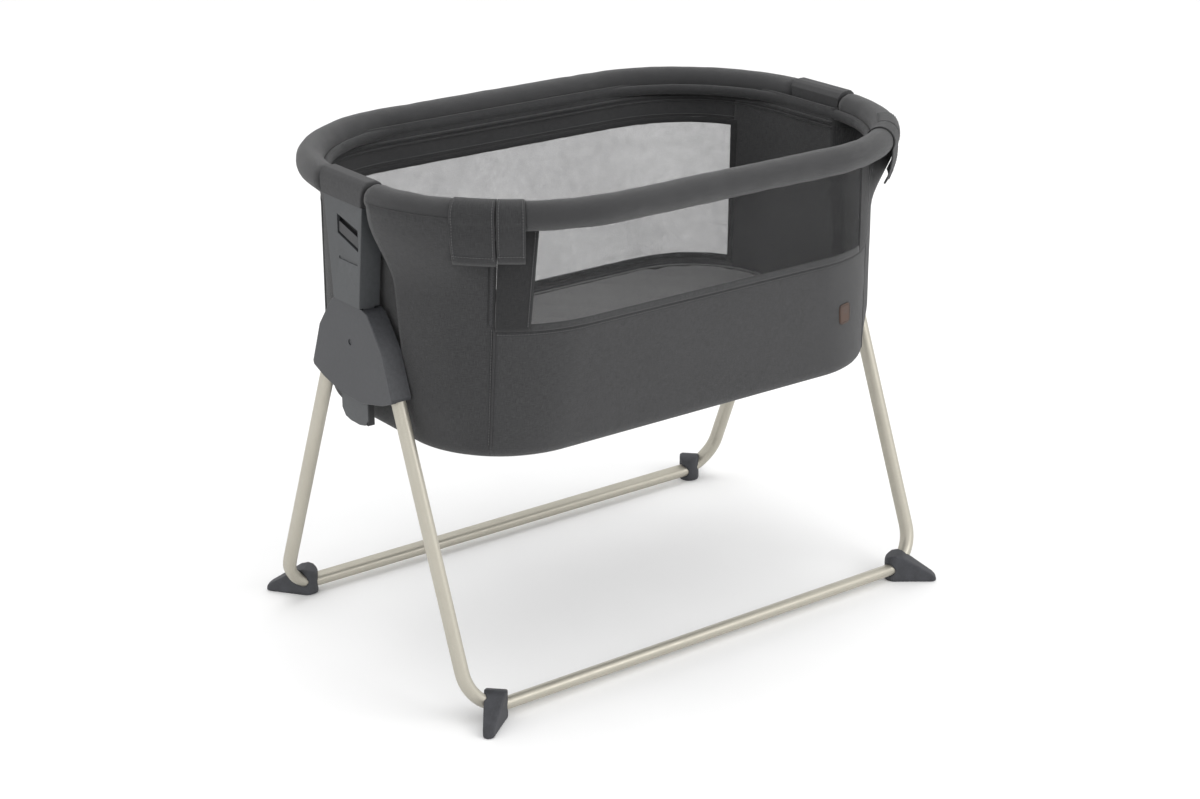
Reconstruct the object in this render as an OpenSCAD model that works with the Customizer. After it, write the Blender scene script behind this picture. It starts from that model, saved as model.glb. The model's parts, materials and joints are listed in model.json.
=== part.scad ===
// Bedside bassinet on a folding A-frame stand.
// Millimetres, +Z up, +X along the basket, -Y towards the drop side.
// Origin: on the floor, under the middle of the basket.

/* [Stand] */
// Half the distance between the two leg tubes of one U frame
leg_x = 431; // [425:1:431]
// Distance of each floor bar from the middle of the stand
bar_y = 262; // [250:1:275]
// Height of the floor bars' centre line
bar_z = 17; // [16:0.5:20]
// Bend radius of the U tubes, to the centre line
bend_r = 62; // [50:1:75]
// Width of the leg tube in the plane of its U
tube_w = 18; // [16:0.5:18]
// Depth of the leg tube across the plane of its U
tube_t = 24; // [22:0.5:24]
// Wall of the leg tube
tube_wall = 1.5; // [1:0.1:2]
// Distance of the leg pivots from the middle of the hub
pivot_y = 67; // [66:0.5:68]
// Height of the leg pivots
pivot_z = 505; // [502:1:506]

/* [Hubs and posts] */
// Inner face of the hub cover
hub_in = 418; // [417:0.5:418]
// Outer face of the hub shell
hub_out = 450; // [449.5:0.5:452]
// Half width of the straight lower part of a post
post_w = 35; // [33:0.5:35]
// Half width of a post under its head cap
post_top_w = 50.6; // [48:0.1:51]
// Distance between two height settings
height_step = 25; // [20:1:25]

/* [Rim and side] */
// Half length of the rim's centre line
rim_a = 438; // [437:1:439]
// Half width of the rim's centre line
rim_b = 294; // [285:1:300]
// Plan radius of the rim's corners
rim_r = 250; // [240:1:250]
// Height of the rim's centre line
rim_z = 728; // [726:0.5:730]
// Radius of the padded rim
pad_r = 21; // [18:0.5:21]
// Radius of the rim tube
rim_tube_r = 11; // [9:0.5:12]
// Plan angle from the front, round the corner, to the joint of the drop side
split_deg = 41.4; // [38:0.2:42]

/* [Basket] */
// Height of the underside of the basket
floor_z = 366; // [360:1:372]
// Half length of the basket at its floor
floor_a = 404; // [400:1:406]
// Half width of the basket at its floor
floor_b = 241.5; // [235:0.5:245]
// Plan radius of the basket's corners at its floor
floor_r = 156; // [150:1:158]
// Height of the fixed band under the drop side
band_z = 560; // [540:1:580]
// Thickness of the padded fabric walls
wall_t = 3; // [2:0.5:4]
// Thickness of the mattress
mattress_t = 34; // [25:1:40]

/* [Hidden] */
$fn = 64;
fit = 0.05;                 // running clearance of a pin in its bore, on the radius
gap = 0.3;                  // air between pieces that slide past each other
leg_drop = pivot_z - bar_z;
leg_out = bar_y - pivot_y;
leg_len = sqrt(leg_drop * leg_drop + leg_out * leg_out);
lean = atan2(leg_out, leg_drop);
pin_r = 4;
eye_r = 13;
tube_top = 16;              // the leg tube ends this far below its pivot
wall_inset = 24;            // the walls hang this far inside the rim's centre line
wall_a = rim_a - wall_inset;
wall_b = rim_b - wall_inset;
wall_r = rim_r - 30;
wall_top = rim_z - 1;
wall_low = floor_z + 3.2;
rear_deg = 61;              // half angle of the rear window's corner part
rear_low = 430;             // sill of the rear window
rear_high = 665;            // head of the rear window
arc_steps = 12;
foot_x = leg_x - 42;
neck_in = 429;              // inner and outer face of the post where it runs in the hub
neck_out = 446;
head_in = 420;              // inner and outer face of the post above the hub
post_out = 453.5;
post_low = 382;
head_low = 564;
cheek_z = 425;              // below this the outer and inner cheeks of a post part
cap_w = 56;
cap_low = 714;
cap_high = 751;
cap_in = head_in;
hub_top = 562;
lock_z = 450;               // height of the lock pin at the lowest setting
settings = 5;
lever_low = 652;
lever_high = 684;
cavity_top = 697;
latch_deg = 6;              // the latch buttons sit this far along the rail from the joint
slate = [0.29, 0.30, 0.32];
ash = [0.36, 0.37, 0.385];
sand = [0.72, 0.69, 0.62];
charcoal = [0.22, 0.22, 0.23];
dark = [0.12, 0.12, 0.13];

// ---- helpers -------------------------------------------------------------------------------

// A copy of the children on the left end; every end piece is drawn on the right, at +X.
module on_left() mirror([1, 0, 0]) children();

module both_ends() {
  children();
  mirror([1, 0, 0]) children();
}

module flat_oval(w, t) {
  square([w, t - w], center = true);
  for (s = [-1, 1]) translate([0, s * (t - w) / 2]) circle(d = w);
}

module tube_profile() difference() {
  flat_oval(tube_w, tube_t);
  flat_oval(tube_w - 2 * tube_wall, tube_t - 2 * tube_wall);
}

function round_points(r, n) = [
  for (i = [0 : n - 1]) let (turn = 360 * (i + 0.5) / n) [r * cos(turn), r * sin(turn)]
];

module ring_profile(outer, inner) difference() {
  polygon(round_points(outer, 28));
  polygon(round_points(inner, 28));
}

// One corner arc of a rounded-rectangle track; k counts the corners from +X +Y, anticlockwise.
module corner_arc(a, b, r, k, from, to) {
  sx = (k == 0 || k == 3) ? 1 : -1;
  sy = k < 2 ? 1 : -1;
  translate([sx * (a - r), sy * (b - r), 0]) rotate([0, 0, 90 * k + from])
    rotate_extrude(angle = to - from) translate([r, 0]) children();
}

// The straight run after corner k, from one distance along it to another.
module side_run(a, b, r, k, from, to) {
  start = k == 0 ? [a - r, b] : k == 1 ? [-a, b - r] : k == 2 ? [r - a, -b] : [a, r - b];
  translate(start) rotate([0, 0, 90 * (k + 1)]) translate([0, to, 0])
    rotate([90, 0, 0]) linear_extrude(to - from) children();
}

module rounded_plate(a, b, r, z, h) translate([0, 0, z]) {
  translate([-a, r - b, 0]) cube([2 * a, 2 * (b - r), h]);
  translate([r - a, -b, 0]) cube([2 * (a - r), 2 * b, h]);
  for (sx = [-1, 1], sy = [-1, 1])
    translate([sx * (a - r), sy * (b - r), 0]) cylinder(r = r, h = h, $fn = 96);
}

// A point of the basket's tapered outline: corner k, share f of its quarter turn, height z, depth inset.
function wall_point(k, f, z, inset) =
  let (
    t = (z - floor_z) / (rim_z - floor_z),
    a = floor_a + (wall_a - floor_a) * t,
    b = floor_b + (wall_b - floor_b) * t,
    r = floor_r + (wall_r - floor_r) * t,
    sx = (k % 4 == 0 || k % 4 == 3) ? 1 : -1,
    sy = k % 4 < 2 ? 1 : -1,
    turn = 90 * (k + f)
  )
  [sx * (a - r) + (r - inset) * cos(turn), sy * (b - r) + (r - inset) * sin(turn), z];

function stations(q0, q1) = [
  for (k = [floor(q0) : ceil(q1) - 1])
    let (f0 = max(q0 - k, 0), f1 = min(q1 - k, 1), n = max(1, round(arc_steps * (f1 - f0))))
      for (i = [0 : n]) [k, f0 + (f1 - f0) * i / n]
];

// A closed strip of the tapered wall between two stations, two heights and two depths.
module wall_strip(q0, q1, z0, z1, outside, inside) {
  rows = stations(q0, q1);
  n = len(rows);
  points = [
    for (s = rows) each [
      wall_point(s[0], s[1], z0, outside), wall_point(s[0], s[1], z1, outside),
      wall_point(s[0], s[1], z1, inside), wall_point(s[0], s[1], z0, inside)
    ]
  ];
  sides = [
    for (i = [0 : n - 2], j = [0 : 3])
      let (p = 4 * i + j, q = 4 * i + (j + 1) % 4) each [[p, p + 4, q], [q, p + 4, q + 4]]
  ];
  ends = [[0, 1, 2], [0, 2, 3], [4 * n - 4, 4 * n - 2, 4 * n - 3], [4 * n - 4, 4 * n - 1, 4 * n - 2]];
  polyhedron(points = points, faces = concat(sides, ends));
}

// ---- stand ---------------------------------------------------------------------------------

// One half of a U frame, in the frame's own plane: pivot axis at the origin, leg down -Z.
module half_frame() {
  translate([leg_x, 0, bend_r - leg_len]) linear_extrude(leg_len - bend_r - tube_top) children();
  translate([leg_x - bend_r, 0, bend_r - leg_len]) rotate([90, 0, 0]) rotate([0, 0, -90])
    rotate_extrude(angle = 90) translate([bend_r, 0]) children();
  translate([0, 0, -leg_len]) rotate([0, 90, 0]) linear_extrude(leg_x - bend_r) children();
}

module leaned(side) translate([0, side * pivot_y, pivot_z]) rotate([side * lean, 0, 0]) children();

module leg_tube(side) color(sand) leaned(side) both_ends() half_frame() tube_profile();

module knuckles(side) color(dark) leaned(side) both_ends() difference() {
  union() {
    translate([leg_x - tube_w / 2 + 0.2, 0, 0]) rotate([0, 90, 0]) cylinder(r = eye_r, h = tube_w - 0.4);
    translate([leg_x, 0, -tube_top]) linear_extrude(tube_top)
      square([tube_w - 0.4, tube_t - 6], center = true);
    translate([leg_x, 0, -60]) linear_extrude(60 - tube_top + 0.1)
      flat_oval(tube_w - 2 * tube_wall - 0.2, tube_t - 2 * tube_wall - 0.2);
  }
  translate([leg_x - tube_w, 0, 0]) rotate([0, 90, 0]) cylinder(r = pin_r + fit, h = 2 * tube_w);
}

// A foot clamps the U tube where the bend meets the bar and runs out diagonally to a low toe.
module foot(side, hand) color(dark) {
  head_r = 17;
  toe_r = 8.5;
  toe_x = 58;
  difference() {
    translate([hand * foot_x, side * bar_y, 0]) rotate([0, 0, atan2(side, hand)]) intersection() {
      linear_extrude(60) union() {
        circle(head_r);
        translate([toe_x, 0]) circle(toe_r);
        polygon([[0, -head_r], [toe_x, -toe_r], [toe_x, toe_r], [0, head_r]]);
      }
      rotate([90, 0, 0]) translate([0, 0, -30]) linear_extrude(60) polygon([
        [-20, 0], [-20, 29], [-15, 37], [-7, 42], [2, 44], [12, 42], [toe_x, 14], [toe_x + 6, 9],
        [toe_x + toe_r, 3], [toe_x + toe_r, 0]
      ]);
    }
    leaned(side) mirror([hand < 0 ? 1 : 0, 0, 0]) half_frame() flat_oval(tube_w + 0.1, tube_t + 0.1);
  }
}

// ---- hubs ----------------------------------------------------------------------------------

hub_half = [[38, hub_top], [47, 558], [58, 545], [84, 511], [107, 448], [105, 442], [80, 432], [30, 420]];
hub_outline = concat(hub_half, [for (i = [len(hub_half) - 1 : -1 : 0]) [-hub_half[i][0], hub_half[i][1]]]);

module hub_slab(from, to) translate([from, 0, 0]) rotate([90, 0, 90])
  linear_extrude(to - from) polygon(hub_outline);

// Room in the shell for a leg between its open and its folded position.
module leg_room() rotate([90, 0, 90]) {
  slope = tan(lean);
  outer_y = pivot_y + 12.6 / cos(lean);
  low = 400;
  linear_extrude(20) union() {
    translate([pivot_y, pivot_z]) circle(eye_r + 1);
    polygon([
      [pivot_y - eye_r - 1, pivot_z], [pivot_y - eye_r - 1, low],
      [outer_y + (pivot_z - low) * slope, low], [outer_y, pivot_z]
    ]);
  }
}

module lock_holes() for (i = [0 : settings - 1])
  translate([hub_in - 1, 0, lock_z + i * height_step]) rotate([0, 90, 0]) cylinder(r = 4.3, h = 12);

module pin_bores(r) for (s = [-1, 1])
  translate([hub_in - 1, s * pivot_y, pivot_z]) rotate([0, 90, 0]) cylinder(r = r, h = 30);

module screw_places() for (y = [-30, 30], z = [434, 550]) translate([0, y, z]) rotate([0, 90, 0]) children();

module hub_shell() color(slate) difference() {
  hub_slab(hub_in + 3.5, hub_out);
  for (m = [0, 1]) mirror([0, m, 0]) translate([hub_in + 3.4, 0, 0]) leg_room();
  translate([neck_in - 2, -post_w - 2, 400]) cube([neck_out - neck_in + 4, 2 * post_w + 4, 200]);
  lock_holes();
  pin_bores(pin_r + 0.02);
  translate([hub_in, 0, 0]) screw_places() cylinder(r = 1.8, h = 8.6);
  translate([hub_out - 1.4, 0, 505]) rotate([0, 90, 0]) cylinder(r = 4.5, h = 3);
}

module hub_cover() color(slate) difference() {
  hub_slab(hub_in, hub_in + 3.3);
  lock_holes();
  pin_bores(pin_r + 0.02);
  translate([hub_in - 1, 0, 0]) screw_places() cylinder(r = 1.9, h = 8);
}

module post_guide() color(dark) difference() {
  translate([neck_in - 1.9, -post_w - 1.9, 424]) cube([neck_out - neck_in + 3.8, 2 * post_w + 3.8, 134]);
  translate([neck_in - gap, -post_w - gap, 400])
    cube([neck_out - neck_in + 2 * gap, 2 * (post_w + gap), 200]);
  lock_holes();
}

module leg_pins() color("silver") both_ends() for (s = [-1, 1])
  translate([hub_in + 0.2, s * pivot_y, pivot_z]) rotate([0, 90, 0]) cylinder(r = pin_r, h = 28.6);

module hub_screws() color("silver") both_ends() {
  translate([hub_in - 2, 0, 0]) screw_places() cylinder(r = 3.4, h = 1.95);
  translate([hub_in - 0.1, 0, 0]) screw_places() cylinder(r = 1.75, h = 8);
}

// ---- posts ---------------------------------------------------------------------------------

// A post is thick above its hub and runs in the hub as a narrower neck.
module post_shell() color(ash) difference() {
  union() {
    translate([neck_in, 0, 0]) rotate([90, 0, 90]) linear_extrude(neck_out - neck_in) polygon([
      [-post_w, 396], [-26, post_low + 3], [-12, post_low], [12, post_low], [26, post_low + 3], [post_w, 396],
      [post_w, 572], [-post_w, 572]
    ]);
    translate([head_in, 0, 0]) rotate([90, 0, 90]) linear_extrude(post_out - head_in) polygon([
      [post_w, head_low], [post_w, 572], [post_top_w, cap_low - 0.2],
      [-post_top_w, cap_low - 0.2], [-post_w, 572], [-post_w, head_low]
    ]);
  }
  translate([neck_in + 3, -post_w + 4, cheek_z - 1]) cube([11.6, 2 * post_w - 8, head_low + 10 - cheek_z]);
  translate([head_in + 4, -post_w + 4, head_low + 6]) cube([24, 2 * post_w - 8, cavity_top - head_low - 6]);
  translate([neck_in - 1, -60, 370]) cube([15.6, 120, cheek_z - 370]);
  lever_window();
  translate([neck_in + 8, 29, 653]) cube([8, 40, 46]);
  translate([neck_in - 1, 0, lock_z]) rotate([0, 90, 0]) cylinder(r = pin_r + fit, h = 10);
  translate([post_out - 1.2, -34, 627]) cube([3, 48, 4]);
}

// Slanted window in the outer wall of a post, through which the lever is reached.
module lever_window() translate([440, 0, 0]) rotate([90, 0, 90]) linear_extrude(30)
  polygon([[16, 664], [16, 692], [-37, 679], [-37, 648]]);

module post_column() color(dark) difference() {
  translate([neck_in + 3.2, -post_w + 4.5, post_low + 3]) cube([11.2, 2 * post_w - 9, 640 - post_low - 3]);
  translate([neck_in + 5.2, -post_w + 6.5, post_low]) cube([7.2, 2 * post_w - 13, 260]);
  translate([neck_in, 0, lock_z]) rotate([0, 90, 0]) cylinder(r = pin_r + fit, h = 8);
}

module head_cap() color(ash) difference() {
  intersection() {
    rotate([90, 0, 0]) translate([0, 0, -cap_w]) linear_extrude(2 * cap_w) polygon([
      [cap_in, cap_low], [456.5, cap_low], [457.5, 726], [456.5, 738], [453, 746],
      [447, cap_high], [431, cap_high], [425, 748], [cap_in, 741]
    ]);
    translate([400, 0, 0]) rotate([90, 0, 90]) linear_extrude(80)
      polygon([[-51.5, cap_low], [51.5, cap_low], [cap_w, 744], [cap_w, 760], [-cap_w, 760], [-cap_w, 744]]);
  }
  translate([rim_a, 70, rim_z]) rotate([90, 0, 0]) cylinder(r = rim_tube_r + 0.5, h = 140);
}

module release_lever() color(dark) {
  translate([436, -30, lever_low]) cube([10, 59, lever_high - lever_low]);
  translate([438, 28, 658]) cube([6, 25, 26]);
  translate([445, 0, 0]) rotate([90, 0, 90]) linear_extrude(7)
    polygon([[14, 666], [14, 682], [-35, 668.5], [-35, 652]]);
}

module lock_rod() color("silver") translate([438.7, 0, lock_z + 6.6])
  cylinder(r = 2.5, h = lever_low - lock_z - 6.7);

module lock_pin() color("silver") translate([neck_in + 0.1, 0, lock_z]) rotate([0, 90, 0]) {
  cylinder(r = pin_r, h = 8);
  translate([0, 0, 5.6]) cylinder(r = 6, h = 2.4);
}

// Return spring between the lever and the top of the post's cavity.
module lever_spring() color("silver") {
  turns = 4;
  steps = 14;
  coil_r = 4.2;
  wire_r = 0.7;
  sides = 6;
  low = lever_high + wire_r + 0.1;
  high = cavity_top - wire_r - 0.1;
  n = turns * steps;
  points = [
    for (i = [0 : n], j = [0 : sides - 1])
      let (turn = 360 * i / steps, a = 360 * j / sides, reach = coil_r + wire_r * cos(a))
        [441 + reach * cos(turn), reach * sin(turn), low + (high - low) * i / n + wire_r * sin(a)]
  ];
  skin = [
    for (i = [0 : n - 1], j = [0 : sides - 1])
      let (p = sides * i + j, q = sides * i + (j + 1) % sides)
        each [[p, q, p + sides], [q, q + sides, p + sides]]
  ];
  start = [[for (j = [sides - 1 : -1 : 0]) j]];
  finish = [[for (j = [0 : sides - 1]) sides * n + j]];
  polyhedron(points = points, faces = concat(skin, start, finish));
}

// ---- rim and drop side -----------------------------------------------------------------------

end_half = rim_b - rim_r;                       // half length of the rim's straight end run
cap_deg = asin((cap_w + 0.7 - end_half) / rim_r);
half_slit = 0.15;                               // half the angle between the fixed rim and the side rail

module on_rim() translate([0, 0, rim_z]) children();

module fixed_rim(profile_gap) {
  corner_arc(rim_a, rim_b, rim_r, 3, split_deg + half_slit + profile_gap, 90) children();
  side_run(rim_a, rim_b, rim_r, 3, 0, 2 * end_half) children();
  corner_arc(rim_a, rim_b, rim_r, 0, 0, 90) children();
  side_run(rim_a, rim_b, rim_r, 0, 0, 2 * (rim_a - rim_r)) children();
  corner_arc(rim_a, rim_b, rim_r, 1, 0, 90) children();
  side_run(rim_a, rim_b, rim_r, 1, 0, 2 * end_half) children();
  corner_arc(rim_a, rim_b, rim_r, 2, 0, 90 - split_deg - half_slit - profile_gap) children();
}

module moving_rim(profile_gap) {
  corner_arc(rim_a, rim_b, rim_r, 2, 90 - split_deg + half_slit + profile_gap, 90) children();
  side_run(rim_a, rim_b, rim_r, 2, 0, 2 * (rim_a - rim_r)) children();
  corner_arc(rim_a, rim_b, rim_r, 3, 0, split_deg - half_slit - profile_gap) children();
}

module rim_tube() color(sand) on_rim() fixed_rim(0.5) ring_profile(rim_tube_r, rim_tube_r - 1.5);

module rim_pad_rear() color(charcoal) on_rim() {
  corner_arc(rim_a, rim_b, rim_r, 0, cap_deg, 90) ring_profile(pad_r, rim_tube_r + 0.1);
  side_run(rim_a, rim_b, rim_r, 0, 0, 2 * (rim_a - rim_r)) ring_profile(pad_r, rim_tube_r + 0.1);
  corner_arc(rim_a, rim_b, rim_r, 1, 0, 90 - cap_deg) ring_profile(pad_r, rim_tube_r + 0.1);
}

module rim_pad_front() color(charcoal) on_rim()
  corner_arc(rim_a, rim_b, rim_r, 3, split_deg + half_slit, 90 - cap_deg)
    ring_profile(pad_r, rim_tube_r + 0.1);

// Plug in a tube end with a flange that closes it; `dir` is +1 on the fixed rim and -1 on the side rail.
module end_plug(dir) color(dark) on_rim() {
  edge = split_deg + dir * half_slit;
  flange = edge + dir * 0.5;
  tail = edge + dir * 3.5;
  corner_arc(rim_a, rim_b, rim_r, 3, min(edge, flange), max(edge, flange)) circle(rim_tube_r);
  corner_arc(rim_a, rim_b, rim_r, 3, min(edge, tail), max(edge, tail)) circle(rim_tube_r - 1.6);
}

module latch_axis() translate([rim_a - rim_r, rim_r - rim_b, rim_z])
  rotate([0, 0, 270 + split_deg - latch_deg]) translate([rim_r, 0, 0]) rotate([0, 90, 0]) children();

module side_rail_tube() color(sand) difference() {
  on_rim() moving_rim(0.5) ring_profile(rim_tube_r, rim_tube_r - 1.5);
  both_ends() latch_axis() cylinder(r = 5.8, h = 20);
}

// The sleeve stops short of the latch buttons, which stand out of the bare tube ends.
module side_rail_pad() color(charcoal) on_rim() moving_rim(latch_deg + 1.8) difference() {
  circle(pad_r);
  circle(rim_tube_r + 0.1);
}

module latch_button() color(dark) latch_axis() translate([0, 0, 1.5]) cylinder(r = 5.5, h = 19);

// ---- basket ----------------------------------------------------------------------------------

split_q = split_deg / 90;
rear_q = rear_deg / 90;

module base_ring() color(sand) translate([0, 0, floor_z + 12.6]) {
  a = floor_a - 13;
  b = floor_b - 13;
  r = floor_r - 13;
  for (k = [0 : 3]) {
    corner_arc(a, b, r, k, 0, 90) ring_profile(8, 6.8);
    side_run(a, b, r, k, 0, 2 * (k % 2 == 0 ? a - r : b - r)) ring_profile(8, 6.8);
  }
}

module support_board() color(dark) rounded_plate(floor_a - 7, floor_b - 7, floor_r - 7, floor_z + 20.8, 3);

module mattress() color([0.42, 0.42, 0.42])
  rounded_plate(floor_a - 8, floor_b - 8, floor_r - 8, floor_z + 24, mattress_t);

module floor_fabric() color(charcoal) rounded_plate(floor_a, floor_b, floor_r, floor_z, 3);

module fabric_strip(q0, q1, z0, z1) color(charcoal) wall_strip(q0, q1, z0, z1, 0, wall_t);

module mesh_strip(q0, q1, z0, z1) color([0.75, 0.75, 0.76]) wall_strip(q0, q1, z0, z1, 0.8, 2.2);

module end_wall() fabric_strip(3 + split_q, 4 + 1 - rear_q, wall_low, wall_top);

module corner_flap() color(charcoal) on_rim() translate([0, 0, -72])
  corner_arc(rim_a, rim_b, rim_r, 3, split_deg + 0.6, split_deg + 13)
    translate([pad_r + 0.3, 0]) square([2, 76]);

module zip_tapes() color(dark) both_ends()
  wall_strip(3 + split_q + 0.002, 3 + split_q + 0.034, band_z + 4, rim_z - 24, -1.2, -0.1);

module zip_slider() color("silver")
  wall_strip(3 + split_q + 0.008, 3 + split_q + 0.028, rim_z - 42, rim_z - 28, -3.4, -1.4);

module leather_tag() color([0.36, 0.24, 0.17]) wall_strip(3.1, 3.2, 450, 483, -1.7, -0.5);

// ---- nodes -----------------------------------------------------------------------------------

leg_tube(-1);  // front_leg_tube
leg_tube(1);  // rear_leg_tube
knuckles(-1);  // front_leg_knuckles
knuckles(1);  // rear_leg_knuckles
foot(-1, -1);  // foot_front_left
foot(-1, 1);  // foot_front_right
foot(1, -1);  // foot_rear_left
foot(1, 1);  // foot_rear_right
on_left() hub_shell();  // hub_shell_left
hub_shell();  // hub_shell_right
on_left() hub_cover();  // hub_cover_left
hub_cover();  // hub_cover_right
on_left() post_guide();  // post_guide_left
post_guide();  // post_guide_right
leg_pins();
hub_screws();
on_left() post_shell();  // post_shell_left
post_shell();  // post_shell_right
on_left() post_column();  // post_column_left
post_column();  // post_column_right
on_left() head_cap();  // head_cap_left
head_cap();  // head_cap_right
on_left() release_lever();  // release_lever_left
release_lever();  // release_lever_right
on_left() lock_rod();  // lock_rod_left
lock_rod();  // lock_rod_right
on_left() lock_pin();  // lock_pin_left
lock_pin();  // lock_pin_right
on_left() lever_spring();  // lever_spring_left
lever_spring();  // lever_spring_right
rim_tube();
rim_pad_rear();
on_left() rim_pad_front();  // rim_pad_front_left
rim_pad_front();  // rim_pad_front_right
both_ends() end_plug(1);  // rim_end_plugs
side_rail_tube();
side_rail_pad();
both_ends() end_plug(-1);  // side_rail_plugs
on_left() latch_button();  // latch_button_left
latch_button();  // latch_button_right
base_ring();
support_board();
mattress();
floor_fabric();
on_left() end_wall();  // end_wall_left
end_wall();  // end_wall_right
fabric_strip(1 - rear_q, 1 + rear_q, wall_low, rear_low);  // rear_band_lower
fabric_strip(1 - rear_q, 1 + rear_q, rear_high, wall_top);  // rear_band_upper
mesh_strip(1 - rear_q, 1 + rear_q, rear_low, rear_high);  // rear_mesh
fabric_strip(3 - split_q, 3 + split_q, wall_low, band_z);  // front_band
mesh_strip(3 - split_q, 3 + split_q, band_z, wall_top);  // side_mesh
on_left() corner_flap();  // corner_flap_left
corner_flap();  // corner_flap_right
zip_tapes();
on_left() zip_slider();  // zip_slider_left
zip_slider();  // zip_slider_right
leather_tag();
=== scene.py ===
import json
import math

import bmesh
import bpy
import numpy as np
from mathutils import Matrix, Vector, noise

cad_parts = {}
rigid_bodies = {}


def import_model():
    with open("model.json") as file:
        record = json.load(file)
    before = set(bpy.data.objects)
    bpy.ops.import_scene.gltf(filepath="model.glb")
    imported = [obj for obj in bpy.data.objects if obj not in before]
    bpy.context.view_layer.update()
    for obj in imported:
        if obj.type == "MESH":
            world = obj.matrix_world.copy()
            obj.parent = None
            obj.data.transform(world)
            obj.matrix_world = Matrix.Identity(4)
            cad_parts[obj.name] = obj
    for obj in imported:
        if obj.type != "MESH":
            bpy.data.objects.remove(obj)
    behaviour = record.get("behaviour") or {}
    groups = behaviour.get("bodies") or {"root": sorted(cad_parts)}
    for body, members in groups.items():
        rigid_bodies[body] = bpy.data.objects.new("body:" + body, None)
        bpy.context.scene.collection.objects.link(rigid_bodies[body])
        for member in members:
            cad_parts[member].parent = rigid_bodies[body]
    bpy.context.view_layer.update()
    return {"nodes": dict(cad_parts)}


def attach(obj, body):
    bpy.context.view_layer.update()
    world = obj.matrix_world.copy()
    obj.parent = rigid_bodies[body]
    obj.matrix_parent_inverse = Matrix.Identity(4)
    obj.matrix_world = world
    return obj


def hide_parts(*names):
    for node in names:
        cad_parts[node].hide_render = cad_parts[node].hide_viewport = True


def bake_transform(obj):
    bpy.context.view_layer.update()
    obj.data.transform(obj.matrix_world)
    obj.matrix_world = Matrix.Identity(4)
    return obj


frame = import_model()

# ---- the basket's own sizes, in metres, as the CAD has them ----

RIM = (0.438, 0.294, 0.250)             # half length, half width, corner radius of the rim's centre line
RIM_Z = 0.728
PAD_R = 0.021
SWELL = 0.010                           # how far the walls swell at a corner
FLUSH = 0.024 + PAD_R - 0.0005          # from the wall's line out to the sleeve's outer side
SPLIT = math.radians(41.4)              # plan angle of the joint between fixed rim and side rail
SLIT = math.radians(0.15)
WALL_TOP = (0.414, 0.270, 0.220)        # the walls' outline at the rim, and below it at the floor
FLOOR = (0.404, 0.2415, 0.156)
FLOOR_Z = 0.366
BAND_Z = 0.560                          # top of the front band
REAR_LOW, REAR_HIGH = 0.430, 0.665      # sill and head of the rear mesh window
REAR_EDGE = math.radians(61)            # plan angles of the sides of the rear and front windows
WINDOW_EDGE = math.radians(26.5)
CUFF = math.radians(33.2)               # plan angle where the rail's sleeve gives way to its cuff
WALL = 0.003
HEM = 0.018                             # radius of the basket's lower edge
MATTRESS_TOP, MATTRESS_LOW = 0.424, 0.390
Q = math.pi / 2

# ---- small tools ----


def taper(z):
    t = (z - FLOOR_Z) / (RIM_Z - FLOOR_Z)
    return tuple(f + (w - f) * t for f, w in zip(FLOOR, WALL_TOP))


def on_track(u, dims):
    """A point and its outward direction on a rounded rectangle.

    u runs 0 to 8: a corner, a straight run, the next corner, and on.
    """
    a, b, r = dims
    u %= 8
    k, v = int(u // 2), u - 2 * int(u // 2)
    signs = [(1, 1), (-1, 1), (-1, -1), (1, -1)]

    def centre(c):
        return Vector((signs[c % 4][0] * (a - r), signs[c % 4][1] * (b - r)))

    if v <= 1:
        n = Vector((math.cos(Q * (k + v)), math.sin(Q * (k + v))))
        return centre(k) + r * n, n
    n = Vector((math.cos(Q * (k + 1)), math.sin(Q * (k + 1))))
    return centre(k).lerp(centre(k + 1), v - 1) + r * n, n


def stations(u0, u1, step, dims):
    """Values of u between two ends, about one step of length apart."""
    fine = np.linspace(u0, u1, 1200)
    pts = np.array([on_track(u, dims)[0] for u in fine])
    length = np.concatenate([[0], np.cumsum(np.linalg.norm(np.diff(pts, axis=0), axis=1))])
    n = max(2, round(length[-1] / step) + 1)
    want = np.linspace(0, length[-1], n)
    return [float(v) for v in np.interp(want, length, fine)], want


def outward(u, dims):
    """The outward direction of a rounded rectangle, level in space."""
    _, n = on_track(u, dims)
    return Vector((n.x, n.y, 0))


def smooth(t):
    t = min(1.0, max(0.0, t))
    return t * t * (3 - 2 * t)


def bulge(u, z):
    """How far the soft wall swells outwards round a corner.

    The drop side's share of a front corner stays flat. Its fixed share swells, and climbs to the sleeve's
    outer side below the rim, so that wall and sleeve run on in one line.
    """
    u %= 8
    v = u - 2 * int(u // 2)
    if v >= 1:
        return 0.0
    start = SPLIT / Q
    if 4 <= u < 6:
        v = (1 - v - start) / (1 - start)
    elif u >= 6:
        v = (v - start) / (1 - start)
    if v <= 0:
        return 0.0
    rise = SWELL * min(1.0, max(0.0, (z - FLOOR_Z - 0.01) / 0.06))
    if u < 4:
        flare = min(1.0, max(0.0, (z - REAR_HIGH) / 0.045))
        return (rise + 0.009 * flare ** 2) * math.sin(math.pi * v) ** 2
    beside_post = smooth((1 - v - 0.032) / 0.05)
    swell = rise * smooth(v / 0.4) * beside_post
    climb = smooth((z - 0.600) / 0.112) * smooth((v - 0.08) / 0.2) * beside_post
    return swell + (FLUSH - swell) * climb


def wall_at(u, out, z):
    p, n = on_track(u, taper(z))
    out += bulge(u, z)
    return Vector((p.x + n.x * out, p.y + n.y * out, z))


def rim_at(u, out, z):
    p, n = on_track(u, RIM)
    return Vector((p.x + n.x * out, p.y + n.y * out, z))


def link(name, mesh):
    obj = bpy.data.objects.new(name, mesh)
    bpy.context.scene.collection.objects.link(obj)
    return obj


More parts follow.
